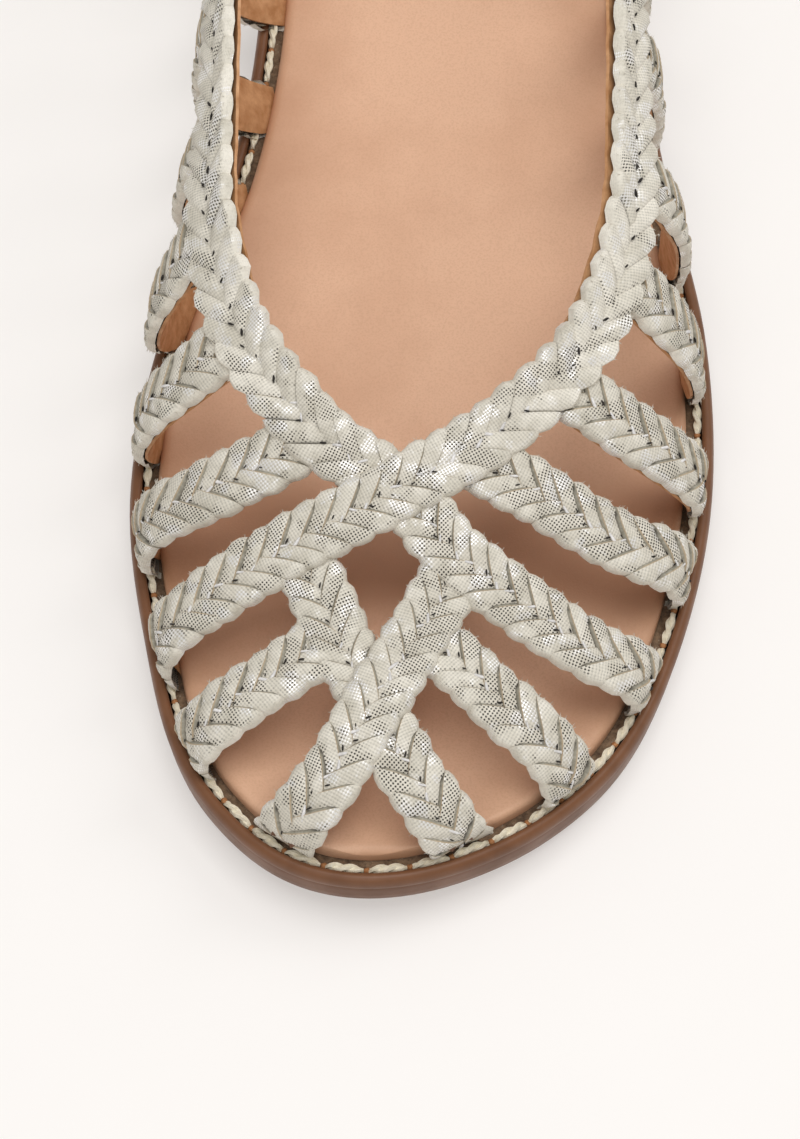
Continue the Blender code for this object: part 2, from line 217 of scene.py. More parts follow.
fullTurn = 2 * math.pi
outlineKnots = [
    (0.0, sole["toeTipX"]),
    *((turnAt(row[0]), row[2]) for row in sole["outline"]),
    (math.pi, sole["heelTipX"]),
    *((fullTurn - turnAt(row[0]), row[1]) for row in reversed(sole["outline"])),
]
runOn = [(turn + fullTurn, x) for turn, x in outlineKnots[:2]]
outlineKnots = [(outlineKnots[-1][0] - fullTurn, outlineKnots[-1][1]), *outlineKnots, *runOn]
outlineSlopes = [0.0, *innerSlopes(outlineKnots), 0.0]  # the two ends are never reached


def outlineX(turn):
    return curveAt(outlineKnots, outlineSlopes, turn % fullTurn)[0]


def soleEdge(turn, inset=0.0):  # x and station of a point inside the outline
    step = 0.002
    alongX = outlineX(turn + step) - outlineX(turn - step)
    alongStation = stationAt(turn + step) - stationAt(turn - step)
    size = math.hypot(alongX, alongStation)
    return outlineX(turn) - inset * alongStation / size, stationAt(turn) + inset * alongX / size


widths = [outlineX(fullTurn * i / sole["steps"]) for i in range(sole["steps"])]
middleX = (min(widths) + max(widths)) / 2


def placed(x, station, height):  # millimetres in the frame of the part
    return Vector((x - middleX, station - sole["length"] / 2, height))


def ledgeHeight(station):
    return rimHeight(station) - sole["ledgeDrop"]


def lastPoint(station, girth):
    lateral = girth >= 0
    turn = turnAt(station) if lateral else -turnAt(station)
    baseX, baseStation = soleEdge(turn, last["inset"])
    centre = min(max(station, last["toeCentre"]), last["heelCentre"])
    centreX = spineX(centre)
    reach = math.hypot(baseX - centreX, baseStation - centre)
    bulge = (lateralBulge if lateral else medialBulge)(station)
    foot = ledgeHeight(baseStation)
    belly = bulgeHeight(station)
    climb = 1 - abs(girth)
    if climb < last["bulgeShare"]:
        share = climb / last["bulgeShare"]
        out = reach + bulge * (1 - (1 - share) ** 2)
        height = foot + (belly - foot) * share
    else:
        angle = (climb - last["bulgeShare"]) / (1 - last["bulgeShare"]) * math.pi / 2
        out = (reach + bulge) * math.cos(angle)
        height = belly + (crownHeight(centre) - belly) * math.sin(angle)
    x = centreX + (baseX - centreX) * out / reach
    return placed(x, centre + (baseStation - centre) * out / reach, height)


def lastNormal(station, girth):
    stationStep, girthStep = 0.1, 0.004
    station = min(max(station, stationStep), sole["length"] - stationStep)
    low, high = max(girth - girthStep, -1), min(girth + girthStep, 1)
    if low < 0 < high:  # the sides differ, so the step stays on one of them
        low, high = (0.0, high) if girth >= 0 else (low, -1e-6)
    along = lastPoint(station + stationStep, girth) - lastPoint(station - stationStep, girth)
    roundFoot = lastPoint(station, high) - lastPoint(station, low)
    return roundFoot.cross(along).normalized()


class Strap:  # a smooth path over the last, kept as closely spaced frames
    spacing = 0.6
    before = 10.0
    after = 14.0
    halfStep = 0.2

    def __init__(self, rows, inward=0.0):
        self.inward = inward
        normals = [lastNormal(row[0], row[1]) for row in rows]
        points = [lastPoint(row[0], row[1]) + normal * row[2] for row, normal in zip(rows, normals)]
        places = runLengths(points)
        self.length = places[-1]
        collar = places[straps["collarPoints"] - 1:]
        self.collarEnd = collar[0] if collar else -math.inf
        self.knots = list(zip(places, points, normals))
        first, final = (points[1] - points[0]).normalized(), (points[-1] - points[-2]).normalized()
        self.slopes = [first, *innerSlopes(self.knots), final]
        count = math.ceil((self.length + self.before + self.after) / self.spacing)
        self.frames = [self.measure(-self.before + i * self.spacing) for i in range(count + 1)]

    def point(self, place):
        inside = min(max(place, 0.0), self.length)
        found, i, share = curveAt(self.knots, self.slopes, inside)
        beyond = self.slopes[0] if place < 0 else self.slopes[-1]
        return found + beyond * (place - inside), self.knots[i][2].lerp(self.knots[i + 1][2], share)

    def measure(self, place):
        point, out = self.point(place)
        ahead, behind = (self.point(place + step)[0] for step in (self.halfStep, -self.halfStep))
        along = (ahead - behind).normalized()
        across = along.cross(out).normalized()
        return point, across, across.cross(along), along

    def frameAt(self, place):  # point, direction across, direction out and direction along
        step = min(max((place + self.before) / self.spacing, 0.0), len(self.frames) - 1.001)
        i = int(step)
        return [a.lerp(b, step - i) for a, b in zip(self.frames[i], self.frames[i + 1])]

    def collarShare(self, place, runOn, fade):  # 1 on the collar, 0 past its end and on short straps
        return smooth((self.collarEnd + runOn - place) / fade)

    def shift(self, place):
        return self.inward * self.collarShare(place, *straps["inwardFade"])

    def at(self, place, across, height):  # a point of the strap, held above the ledge of the sole
        point, side, out = self.frameAt(place)[:3]
        found = point + side * across + out * height
        ledge = ledgeHeight(found.y + sole["length"] / 2)
        found.z = max(found.z, ledge + straps["ledgeGap"])
        return found * mm


def collarRows(side, endLift):
    first, final = math.pi + straps["heelLapTurn"], turnAt(straps["collar"][0][0])
    rows = []
    for share in evenShares(straps["collarPoints"]):
        turn = between((first, final), share)
        turned = side if turn < math.pi else -side
        nearHeel = max(0.0, 1 - share / straps["heelLapShare"])
        lift = between((straps["collarLift"], endLift), nearHeel)
        rows.append((stationAt(turn), turned * collarGirth[side](stationAt(turn)), lift))
    return tuple(rows)


def sideRows(side, top, middle, base):
    start = collarGirth[side](top) + straps["sideStart"]
    rows = []
    for share in evenShares(straps["sidePoints"]):
        bow = 4 * share * (1 - share)
        station = top + (base - top) * share + bow * (middle - (top + base) / 2)
        lift = between((straps["sideTuck"], straps["sideLift"]), min(1.0, share * straps["untuckRate"]))
        rows.append((station, side * (start + (1 - start) * share), lift))
    return tuple(rows)


lateralLong = Strap(collarRows(1, 0.0) + straps["vampOver"])
medialLong = Strap(collarRows(-1, straps["heelLapLift"]) + straps["vampUnder"], straps["medialInward"])
frontStraps = [Strap(rows) for rows in straps["front"].values()]
medialStraps = [Strap(sideRows(-1, *row[:3])) for row in straps["sides"]]
lateralStraps = [Strap(sideRows(1, *row[3:])) for row in straps["sides"]]
longStraps = [lateralLong, medialLong]
toeStraps = frontStraps[:2]
allStraps = longStraps + frontStraps + medialStraps + lateralStraps
print("strap routes laid:", len(allStraps))


class Shading:  # the shader nodes of one material
    def __init__(self, name):
        self.material = bpy.data.materials.new(name)
        self.material.use_nodes = True
        self.shader = self.material.node_tree.nodes["Principled BSDF"]
        self.where = self.add("TexCoord").outputs["Object"]

    def add(self, kind, inputs={}, **settings):  # a node with its settings and inputs
        node = self.material.node_tree.nodes.new("ShaderNode" + kind)
        for name, value in settings.items():
            setattr(node, name, value)
        for name, value in inputs.items():
            self.put(value, node.inputs[name])
        return node

    def put(self, value, socket):  # a node's output is linked, a number or colour is set
        if isinstance(value, bpy.types.NodeSocket):
            self.material.node_tree.links.new(value, socket)
        else:
            socket.default_value = (*value, 1.0) if socket.type == "RGBA" else value

    def surface(self, name, value):
        self.put(value, self.shader.inputs[name])

    def math(self, operation, first, second=0.0):
        return self.add("Math", {0: first, 1: second}, operation=operation).outputs[0]

    def times(self, first, second):
        return self.math("MULTIPLY", first, second)

    def plus(self, first, second):
        return self.math("ADD", first, second)

    def span(self, value, low, high, toLow=0.0, toHigh=1.0):
        inputs = {"Value": value, "From Min": low, "From Max": high, "To Min": toLow, "To Max": toHigh}
        return self.add("MapRange", inputs, interpolation_type="SMOOTHSTEP").outputs["Result"]

    def noise(self, scale, detail, roughness=0.55):
        inputs = {"Vector": self.where, "Scale": scale, "Detail": detail, "Roughness": roughness}
        return self.add("TexNoise", inputs).outputs["Fac"]

    def ramp(self, value, dark, light, low=0.3):
        node = self.add("ValToRGB", {"Fac": value})
        stops = (low, dark), (1 - low, light)
        for element, (place, colour) in zip(node.color_ramp.elements, stops):
            element.position = place
            element.color = (*colour, 1.0)
        return node.outputs["Color"]

    def mix(self, share, first, second):
        return self.add("Mix", {0: share, 6: first, 7: second}, data_type="RGBA").outputs[2]

    def bump(self, height, strength, distance):
        node = self.add("Bump", {"Strength": strength, "Distance": distance, "Height": height})
        self.surface("Normal", node.outputs["Normal"])

    def attribute(self, name):
        return self.add("Attribute", attribute_name=name).outputs["Fac"]


# foil-coated woven cloth of the strips, its holes showing in patches
weave = {
    "pitch": 0.47,  # millimetres between threads
    "turn": 5.0,  # degrees
    "wobble": 0.25,
    "wobbleScale": 0.35,
    "foilDark": (0.60, 0.56, 0.47),
    "foilLight": (0.84, 0.795, 0.70),
    # dark of the holes, also the colour of the painted shade between and under the strips
    "hole": (0.035, 0.028, 0.02),
    "spark": (0.91, 0.90, 0.895),
    "patchScale": 230,
    "sparkScale": 260,
    "cloudScale": 380,
    "speckleScale": 2600,
    "deepShade": 0.66,
    "bump": (0.28, 0.0002),
    "edgeDark": (0.23, 0.21, 0.16),
    "edgeLight": (0.40, 0.375, 0.31),
    "edgeTan": (0.60, 0.42, 0.24),
    "edgeScale": 1800,
}


def deepShade(sheet):  # painted shade: 1 where a strip slips under its neighbours, up to half at its tucked inner end
    inward = sheet.attribute("inward")
    under = sheet.span(sheet.attribute("depth"), 0.57, 0.67)
    coveredShade = sheet.times(under, sheet.span(inward, 0.0, 0.1))
    inner = sheet.span(inward, 0.86, 1.0, 0.0, 0.5)
    return sheet.math("MAXIMUM", coveredShade, inner)


def threadWaves(sheet):  # sines along and across the strip, slightly turned and wobbling
    uv = sheet.add("UVMap", uv_map="strip").outputs["UV"]
    turn = 0, 0, math.radians(weave["turn"])
    turned = sheet.add("Mapping", {"Vector": uv, "Rotation": turn}).outputs["Vector"]
    wobble = sheet.add("TexNoise", {"Vector": uv, "Scale": weave["wobbleScale"]}).outputs["Color"]
    swing = weave["wobble"], weave["wobble"], 0.0
    bent = sheet.add("VectorMath", {0: wobble, 1: swing, 2: turned}, operation="MULTIPLY_ADD")
    parts = sheet.add("SeparateXYZ", {0: bent.outputs[0]})
    rate = fullTurn / weave["pitch"]
    return [sheet.math("SINE", sheet.times(parts.outputs[axis], rate)) for axis in "XY"]


def wovenFoil():
    sheet = Shading("wovenFoil")
    warp, weft = threadWaves(sheet)
    cross = sheet.plus(warp, weft)  # -2 in a hole, 2 where threads cross
    offFold = sheet.span(sheet.attribute("inward"), 0.04, 0.14)
    # holes open in patches, more on loose strips and towards a strip's lower end
    patch = sheet.noise(weave["patchScale"], 2.0)
    patch = sheet.plus(patch, sheet.times(sheet.attribute("depth"), 0.12))
    patch = sheet.plus(patch, sheet.times(sheet.attribute("openness"), 0.16))
    opened = sheet.times(sheet.span(patch, 0.58, 0.68), offFold)
    speckle = sheet.noise(weave["speckleScale"], 3.0)
    uneven = sheet.plus(cross, sheet.times(speckle, 0.9))
    holes = sheet.times(sheet.span(uneven, -0.65, 0.15, 1.0, 0.0), opened)
    # cloudy foil, with painted shade in the grooves between threads and random dark speckle
    cloud = sheet.times(sheet.noise(weave["cloudScale"], 4.0), 0.8)
    shade = sheet.plus(cloud, sheet.times(sheet.attribute("tone"), 0.24))
    colour = sheet.ramp(shade, weave["foilDark"], weave["foilLight"], 0.28)
    grooveShade = sheet.plus(sheet.span(warp, -1.0, 0.4, 0.08, 0.0), sheet.span(cross, -1.5, 0.7, 0.18, 0.0))
    shadeAndMottle = sheet.plus(sheet.times(grooveShade, offFold), sheet.span(speckle, 0.36, 0.52, 0.10, 0.0))
    colour = sheet.mix(shadeAndMottle, colour, weave["hole"])
    colour = sheet.mix(holes, colour, weave["hole"])
    # bright thread tops in patches: more metallic, smoother foil, with a near-white painted highlight in
    # the base colour, added on the crests of the collar strands by the shine mark
    lustre = sheet.plus(sheet.noise(weave["sparkScale"], 3.0), sheet.times(sheet.attribute("shine"), 0.14))
    spark = sheet.times(sheet.span(cross, -0.5, 0.7, 0.0, 0.85), sheet.span(lustre, 0.53, 0.63))
    colour = sheet.mix(spark, colour, weave["spark"])
    # painted shade where the strips slip under each other
    deep = sheet.times(deepShade(sheet), weave["deepShade"])
    sheet.surface("Base Color", sheet.mix(deep, colour, weave["hole"]))
    sheet.surface("Metallic", sheet.times(spark, 0.6))
    sheet.surface("Roughness", sheet.span(spark, 0.0, 1.0, 0.68, 0.26))
    sheet.surface("Specular IOR Level", 0.35)
    height = sheet.math("SUBTRACT", sheet.times(cross, 0.25), sheet.times(holes, 0.8))
    sheet.bump(height, *weave["bump"])
    return sheet.material


def cutEdgeCanvas():
    sheet = Shading("cutEdgeCanvas")
    fibre = sheet.noise(weave["edgeScale"], 4.0)
    depth = sheet.attribute("depth")
    colour = sheet.ramp(fibre, weave["edgeDark"], weave["edgeLight"])
    backingShows = sheet.span(depth, 0.02, 0.3, 0.55, 0.0)
    colour = sheet.mix(backingShows, colour, weave["edgeTan"])
    # painted shade: the cut edge darkens towards its foot, where it meets the strip below
    under = sheet.span(depth, 0.3, 1.0, 0.0, 0.88)
    coveredShade = sheet.times(under, sheet.span(sheet.attribute("inward"), 0.03, 0.25))
    sheet.surface("Base Color", sheet.mix(coveredShade, colour, weave["hole"]))
    sheet.surface("Roughness", sheet.span(fibre, 0.3, 0.7, 0.7, 0.85))
    sheet.bump(fibre, 0.3, 0.0002)
    return sheet.material


def plainSheet(name, dark, light, cloudScale, roughness, grainScale, grainStrength, grainDepth=0.0003):
    sheet = Shading(name)
    cloud = sheet.noise(cloudScale, 4.0)
    sheet.surface("Base Color", sheet.ramp(cloud, dark, light))
    sheet.surface("Roughness", sheet.span(cloud, 0.3, 0.7, roughness + 0.06, roughness - 0.06))
    sheet.bump(sheet.noise(grainScale, 4.0), grainStrength, grainDepth)
    return sheet


plainFinishes = {  # dark and light tone, scale of the clouds, roughness, scale and strength of the grain
    # a dark sheet standing in for the shade between the strips
    "shadeCoreDark": ((0.11, 0.05, 0.027), (0.19, 0.095, 0.055), 900, 0.9, 2500, 0.4),
    "liningLeather": ((0.42, 0.19, 0.07), (0.63, 0.345, 0.17), 500, 0.55, 2600, 0.25),
    "threadWhite": ((0.60, 0.58, 0.56), (0.82, 0.80, 0.79), 1200, 0.65, 4000, 0.35),
    "fibreCream": ((0.50, 0.46, 0.38), (0.74, 0.70, 0.62), 1500, 0.8, 4000, 0.3),
    "needleDark": ((0.012, 0.01, 0.008), (0.03, 0.024, 0.02), 800, 0.9, 2000, 0.2),
    "weltThread": ((0.75, 0.67, 0.49), (0.92, 0.86, 0.70), 1500, 0.7, 5000, 0.5),
    "rawHole": ((0.30, 0.12, 0.04), (0.50, 0.23, 0.09), 1500, 0.8, 4000, 0.4),
}
finishes = {name: plainSheet(name, *row).material for name, row in plainFinishes.items()}
finishes["wovenFoil"] = wovenFoil()
finishes["cutEdgeCanvas"] = cutEdgeCanvas()
print("strap materials ready")


def gridShares(bm, columns, rows):  # corners of a new grid, with their shares along and across it
    made = bmesh.ops.create_grid(bm, x_segments=columns, y_segments=rows, size=0.5)["verts"]
    return [(vert, vert.co.x + 0.5, vert.co.y + 0.5) for vert in made]


def addObject(name, data):
    made = bpy.data.objects.new(name, data)
    bpy.context.scene.collection.objects.link(made)
    return made


def finishPiece(name, bm, materials, sharpAngle=40):
    bmesh.ops.recalc_face_normals(bm, faces=bm.faces)
    mesh = bpy.data.meshes.new(name)
    bm.to_mesh(mesh)
    bm.free()
    for material in materials:
        mesh.materials.append(material)
    mesh.shade_smooth()
    mesh.set_sharp_from_angle(angle=math.radians(sharpAngle))
    piece = addObject(name, mesh)
    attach(piece, "root")
    return piece


# flat braid: two columns of folded strips, each strip lying over the one before it
braid = {
    "width": 10.3,
    "pastMiddle": 0.8,
    "curve": 1.2,
    "cover": 1.7,  # length of a strip along the strap, in pitches
    "shortestLead": 2.5,
    "base": 0.25,
    "crest": 2.2,
    # pairs: on the straps below, then on the collar
    "pitch": (3.8, 4.5),
    "lead": (1.5, 1.2),  # how far a strip runs on from its edge to the middle, in pitches
    "scallop": (0.6, 1.1),
    "flush": (1.0, 0.1),  # strips end level at a strap's edge, but not on the collar
    "plump": (0.0, 0.9),  # collar strips are rolled into round strands
    "tone": (0.5, 1.0),
    "openness": (1.0, 0.45),
    "tilt": (0.1, 0.7),  # how far the strips gape
    # fades: how far past the collar's end each one stops, and its length
    "collarFade": (-2.0, 12.0),
    "pitchFade": (12.0, 14.0),
    "pullFade": (18.0, 14.0),
    "pulledTilt": 0.9,
    "gape": (0.3, 1.0),  # width of the cut edge, on the collar and on a strap pulled flat
    "outerShine": 0.3,
    "jitter": {"start": 0.14, "lead": 0.2, "cover": 0.04, "crest": 0.15, "half": 0.15, "turn": 0.14},
    "fray": 0.1,
    "slide": 40.0,
    "widestAt": 0.31,
    "mostScallop": 1.3,
    "fold": 0.1,
    "foldFloor": 0.08,
    "edgeLie": 0.74,
    "edgeShare": 0.25,
    "tuck": 0.8,
    "tuckFrom": 0.6,
    "edgeWidth": 1.2,
    "edgeDrop": 1.1,
    "shineAt": (0.35, 0.3),  # share across and depth of the brightest spot
    "firstStart": -5.4,
    "collarStart": -6.075,
    "gatherAtTop": 1.5,
    "gatherAtSole": 2.0,
    "slipUnder": 1.1,
    "ending": 1.0,  # no strip starts nearer to the sole than this
    "toeEnding": 3.2,
    "thinning": (0.3, 5.0),  # height left at the stitches, and the run down to it
    "toeThinning": (0.12, 10.0),
    "acrossShares": (0.0, 0.03, 0.09, 0.18, 0.34, 0.54, 0.72, 0.87, 1.0),
    "alongSteps": (0.0, 0.0, 0.06, 0.18, 0.37, 0.6, 1.0),  # the first row is the cut edge
    # depth and height of a strip that lies flat, gapes or is rolled
    "flatLay": ((0.0, 0.97), (0.1, 1.0), (0.28, 0.98), (0.46, 0.91), (0.61, 0.8), (1.0, 0.25)),
    "tiltedLay": ((0.0, 1.0), (0.1, 1.0), (0.23, 0.92), (0.46, 0.72), (0.61, 0.58), (1.0, 0.25)),
    "roundLay": (
        (0.0, 0.62), (0.06, 0.74), (0.18, 0.92), (0.3, 1.0), (0.46, 0.9), (0.61, 0.7), (1.0, 0.25),
    ),
}
flatLay, tiltedLay, roundLay = (column(braid[name], 1) for name in ("flatLay", "tiltedLay", "roundLay"))


class Strip:  # one folded strip: where it starts on its strap and how it differs from its neighbours
    def __init__(self, strap, start, side, pitch):
        jitter = {name: size * dice.uniform(-1, 1) for name, size in braid["jitter"].items()}
        onCollar = strap.collarShare(start, *braid["collarFade"])
        pulled = 1 - strap.collarShare(start, *braid["pullFade"])
        self.strap, self.side = strap, side
        self.begin = start + jitter["start"]
        room = max(braid["shortestLead"], strap.length + braid["gatherAtSole"] - start)
        self.lead = min(pitch * between(braid["lead"], onCollar) + jitter["lead"], room)
        self.cover = pitch * braid["cover"] * (1 + jitter["cover"])
        self.crest = braid["crest"] + jitter["crest"]
        self.half = braid["width"] / 2 + jitter["half"] - 0.5 * strap.shift(start)
        self.scallop, self.flush, self.plump = (
            between(braid[name], onCollar) for name in ("scallop", "flush", "plump")
        )
        self.endRise, self.endRun = braid["toeThinning" if strap in toeStraps else "thinning"]
        self.tone = dice.random() * between(braid["tone"], onCollar)
        pull = braid["pulledTilt"] * pulled * dice.uniform(0.6, 1.0)
        self.tilt = between(braid["tilt"], onCollar) + pull
        self.gape = between(braid["gape"], pulled)
        footSide = 1 if strap is lateralLong else -1
        # painted highlight on collar strips, strongest on the inner column
        self.shine = onCollar * (1.0 if side == footSide else braid["outerShine"])
        self.openness = dice.random() * between(braid["openness"], onCollar)
        self.turn = Matrix.Rotation(jitter["turn"], 2)
        self.slide = Vector((dice.uniform(0, braid["slide"]), dice.uniform(0, braid["slide"])))
        self.fray = [dice.uniform(-braid["fray"], braid["fray"]) for k in braid["alongSteps"]]

    def gathered(self, place):  # drawn in where the strap meets the sole and where it starts under another
        room = braid["gatherAtSole"]
        beyond = max(0.0, place - self.strap.length + room)
        place += room * (1 - math.exp(-beyond / room)) - beyond
        if self.strap not in longStraps:
            room = braid["gatherAtTop"]
            ahead = max(0.0, -room - place)
            place += ahead - room * (1 - math.exp(-ahead / room))
        return place

    def lieAt(self, share, depth):  # height as a share of the crest
        lie = between((flatLay(depth), tiltedLay(depth)), self.tilt)
        lie = between((lie, roundLay(depth)), self.plump)
        atEdge = (1 - smooth(share / braid["edgeShare"])) * self.flush
        return between((lie, braid["edgeLie"]), atEdge)

    def spot(self, share, row):  # place along the strap, distance from its middle, height, fold depth
        depth = braid["alongSteps"][row]
        rounding = min(braid["mostScallop"], ((depth - braid["widestAt"]) / braid["widestAt"]) ** 2)
        outer = self.half - self.scallop * rounding + self.fray[row]
        across = outer - (outer + braid["pastMiddle"]) * share + self.side * self.strap.shift(self.begin)
        place = self.gathered(self.begin + self.lead * share ** braid["curve"] + self.cover * depth)
        bent = math.sqrt(1 - (1 - min(1.0, share / braid["fold"])) ** 2)
        fold = between((braid["foldFloor"], 1.0), bent)
        height = braid["base"] + self.crest * fold * self.lieAt(share, depth)
        height -= braid["tuck"] * smooth((share - braid["tuckFrom"]) / (1 - braid["tuckFrom"]))
        if row == 0:
            wedge = smooth((share - 0.1) / 0.3) * (1 - 0.6 * smooth((share - 0.65) / 0.3))
            wedge *= self.tilt * self.gape
            height -= braid["edgeDrop"] * (0.5 + 0.5 * wedge)
            place -= 0.1 + braid["edgeWidth"] * wedge
        fromEnd = self.strap.length - place - self.endRun / 5
        height *= between((self.endRise, 1.0), smooth(fromEnd / self.endRun))
        if self.strap not in longStraps:
            height -= braid["slipUnder"] * (1 - smooth((place + 1.0) / 6.0))
        return place, across, height, self.crest * (1 - fold)


def crestShine(share, depth):  # painted highlight: 1 on the crest of a strip, 0 at its edges
    acrossAt, depthAt = braid["shineAt"]
    return smooth(1 - abs(depth - depthAt) / depthAt) * smooth(1 - abs(share - acrossAt) / acrossAt)


def addStrip(bm, strip, layers):
    rows, shares = braid["alongSteps"], braid["acrossShares"]
    flat = {}
    cut = set()
    for vert, inwards, along in gridShares(bm, len(shares) - 1, len(rows) - 1):
        share = shares[round(inwards * (len(shares) - 1))]
        row = round(along * (len(rows) - 1))
        place, across, height, rolled = strip.spot(share, row)
        unrolled = Vector((place - strip.begin, strip.side * (across + rolled)))
        flat[vert] = strip.slide + strip.turn @ unrolled
        if row == 0:
            cut.add(vert)
        vert.co = strip.strap.at(place, strip.side * across, height)
        marks = {
            "tone": strip.tone,
            "depth": rows[row] if row else 1.0,
            "inward": share,
            "openness": strip.openness,
            "shine": strip.shine * crestShine(share, rows[row]),
        }
        for mark, value in marks.items():
            vert[layers[mark]] = value
    for face in {face for vert in flat for face in vert.link_faces}:
        if any(vert in cut for vert in face.verts):
            face.material_index = 1
        for loop in face.loops:
            loop[layers["strip"]].uv = flat[loop.vert]


def stripsOf(strap):
    strips = []
    start = braid["collarStart" if strap in longStraps else "firstStart"]
    ending = braid["toeEnding" if strap in toeStraps else "ending"]
    while start + ending < strap.length:
        pitch = between(braid["pitch"], strap.collarShare(start, *braid["pitchFade"]))
        for side in (-1, 1):
            first = start + (pitch / 2 if side < 0 else 0.0)
            if first + ending < strap.length:
                strips.append(Strip(strap, first, side, pitch))
        start += pitch
    return strips


def buildBraids(name, group):
    bm = bmesh.new()
    marks = ("tone", "depth", "inward", "openness", "shine")
    layers = {mark: bm.verts.layers.float.new(mark) for mark in marks}
    layers["strip"] = bm.loops.layers.uv.new("strip")
    strips = [strip for strap in group for strip in stripsOf(strap)]
    for strip in strips:
        addStrip(bm, strip, layers)
    print(name, "strips", len(strips), "triangles about", 2 * len(bm.faces))
    allStrips.extend(strips)
    return finishPiece(name, bm, [finishes["wovenFoil"], finishes["cutEdgeCanvas"]])


allStrips = []
longBraids = buildBraids("longBraids", longStraps)
buildBraids("frontBraids", frontStraps)
buildBraids("medialBraids", medialStraps)
buildBraids("lateralBraids", lateralStraps)
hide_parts("upper")

# leather lining under each braid, and a dark core sheet under the strips that stands in for the shade in
# the gaps between them
backing = {
    "lining": {"bottom": -0.35, "thick": 0.5, "wave": 0.12, "runOut": 0.5},
    "core": {"bottom": 0.4, "thick": 0.4, "wave": 0.0, "runOut": -4.5},
    "sideHalf": 4.6,
    "frontHalf": 3.6,
    "lateralCollar": (-4.6, 4.95),
    "medialCollar": (-5.5, 4.6),
    "coreHalf": 2.9,
    "collarFade": (-8.0, 22.0),
    "curl": 0.5,  # lift of the lining edges on the straps below the collar
    "endNarrow": 0.5,
    "medialEndNarrow": 0.1,
    "narrowFrom": 12.0,
    "narrowOver": 11.0,
    "startUnder": 3.0,
    "step": 2.0,
    "stepsAcross": 4,
}


def liningEdges(strap, place):  # how far the lining reaches to both sides of the strap's middle
    half = backing["sideHalf" if strap in medialStraps + lateralStraps else "frontHalf"]
    edges = backing["lateralCollar" if strap is lateralLong else "medialCollar"]
    onCollar = strap.collarShare(place, *backing["collarFade"])
    return [between((side * half, edge), onCollar) for side, edge in zip((-1, 1), edges)]


def addRibbon(bm, strap, edges, layer):
    length = strap.length + backing["startUnder"] + layer["runOut"]
    steps = math.ceil(length / backing["step"])
    wave, curl = (layer["wave"], 0.0) if strap in longStraps else (0.0, backing["curl"])
    endNarrow = backing["medialEndNarrow" if strap in medialStraps else "endNarrow"]
    corners = gridShares(bm, steps, backing["stepsAcross"])
    faces = list({face for corner in corners for face in corner[0].link_faces})
    for vert, lengthShare, share in corners:
        place = lengthShare * length - backing["startUnder"]
        nearEnd = smooth((place - strap.length + backing["narrowFrom"]) / backing["narrowOver"])
        low, high = (edge * (1 - endNarrow * nearEnd) for edge in edges(strap, place))
        sway = wave * math.sin(place * 2.1) + wave * 0.6 * math.sin(place * 0.83)
        reach = between((low, high), share) + sway * (share if high > -low else share - 1)
        vert.co = strap.at(place, reach, layer["bottom"] + curl * abs(2 * share - 1) ** 3)
    bmesh.ops.recalc_face_normals(bm, faces=faces)
    bmesh.ops.solidify(bm, geom=faces, thickness=-layer["thick"] * mm)


def buildBacking(name, edges, layer, material):
    bm = bmesh.new()
    for strap in allStraps:
        addRibbon(bm, strap, edges, layer)
    finishPiece(name, bm, [material])


buildBacking("strapLining", liningEdges, backing["lining"], finishes["liningLeather"])
coreEdges = -backing["coreHalf"], backing["coreHalf"]
buildBacking("braidShadeCore", lambda strap, place: coreEdges, backing["core"], finishes["shadeCoreDark"])
print("linings laid")

# sewing along the middle of each braid: a bit of thread and a dark slit where a strip dives
sewing = {
    "slant": 36.0,
    "slantJitter": 0.25,
    "endClear": 8.0,
    "threadSize": (1.3, 0.26, 0.17),
    "threadShare": 0.93,
    "threadRise": 0.2,
    "threadKeep": 0.5,
    "slitSize": (0.5, 0.15, 0.2),
    "slitShare": 0.74,
    "slitRise": 0.75,
    "slitSlide": -0.2,
    "slitKeep": (0.15, 0.9),  # chance on a strip that lies flat and on one that gapes
    "plumpSize": 0.5,
    "plumpRise": 0.2,
    "fibres": 5,
    "fibreLength": (0.3, 0.75),
    "fibreRadius": (0.04, 0.08),
    "fibreShare": (0.02, 0.12),
}


def addBlob(bm, spot, size):
    stretch = Matrix.Diagonal((*(Vector(size) * mm), 1.0))
    bmesh.ops.create_icosphere(bm, subdivisions=1, radius=1.0, matrix=spot @ stretch)


def placedBlob(bm, strip, place, across, height, size, yaw):
    side, out, along = strip.strap.frameAt(place)[1:]
    forward = along * math.cos(yaw) - side * math.sin(yaw) * strip.side
    turned = Matrix((forward, out.cross(forward), out)).transposed().to_4x4()
    spot = Matrix.Translation(strip.strap.at(place, strip.side * across, height))
    addBlob(bm, spot @ turned, size)


def addFibre(bm, strip):  # a loose thread end at the strip's outer edge
    place, across, height = strip.spot(dice.uniform(*sewing["fibreShare"]), dice.choice((2, 3, 4)))[:3]
    side, out, along = strip.strap.frameAt(place)[1:]
    aim = side * strip.side + along * dice.uniform(-0.9, 0.6) + out * dice.uniform(-0.2, 0.5)
    size = dice.uniform(*sewing["fibreLength"]) * mm
    radius = dice.uniform(*sewing["fibreRadius"]) * mm
    lean = aim.normalized().to_track_quat("Z", "Y").to_matrix().to_4x4()
    spot = Matrix.Translation(strip.strap.at(place, strip.side * across, height)) @ lean
    spot = spot @ Matrix.Translation((0, 0, size * 0.35))
    form = {"cap_ends": True, "segments": 3, "radius1": radius, "radius2": radius / 4, "depth": size}
    bmesh.ops.create_cone(bm, matrix=spot, **form)


